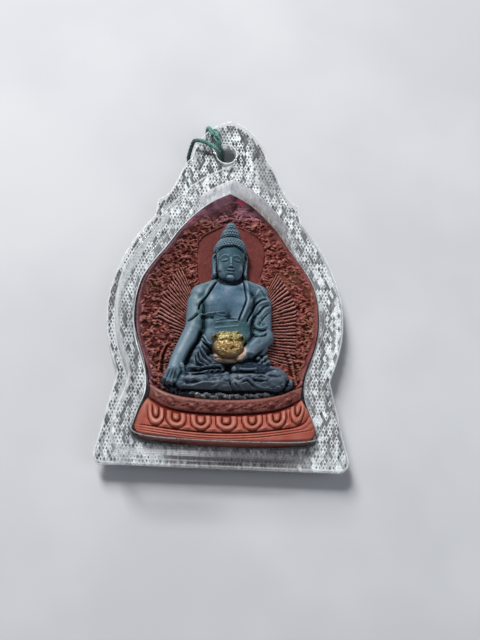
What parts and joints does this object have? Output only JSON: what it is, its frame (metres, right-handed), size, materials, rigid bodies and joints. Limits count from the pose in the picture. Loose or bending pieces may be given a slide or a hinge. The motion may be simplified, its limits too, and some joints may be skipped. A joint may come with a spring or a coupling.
{
  "type": "prayer box pendant",
  "caption": "Clear pressed-plastic pendant case with a pointed-arch outline, a thread hole in its tab and a sealed clay votive plaque with a seated figure.",
  "frame": {"origin": "centre of the footprint on the surface that the pendant's back lies on", "axes": "+Z out of the front window, +Y from the foot towards the tab and its hole, +X to the viewer's right"},
  "size_m": [0.0544, 0.083, 0.012],
  "materials": {
    "clear_plastic": "clear pressed acrylic, glossy, with a fine embossed diamond net in its rim",
    "red_clay": "fine pressed clay, red-brown, matt with a slight wax sheen",
    "blue_clay": "dark teal-blue coloured clay, satin",
    "gold_paint": "dull gold paint over clay",
    "green_thread": "twisted waxed cotton thread"
  },
  "bodies": {
    "root": {"case_front": "clear_plastic", "case_back": "clear_plastic", "clay_plaque": "red_clay", "seated_figure": "blue_clay", "bowl": "gold_paint", "thread_tie": "green_thread"}
  },
  "joints": []
}
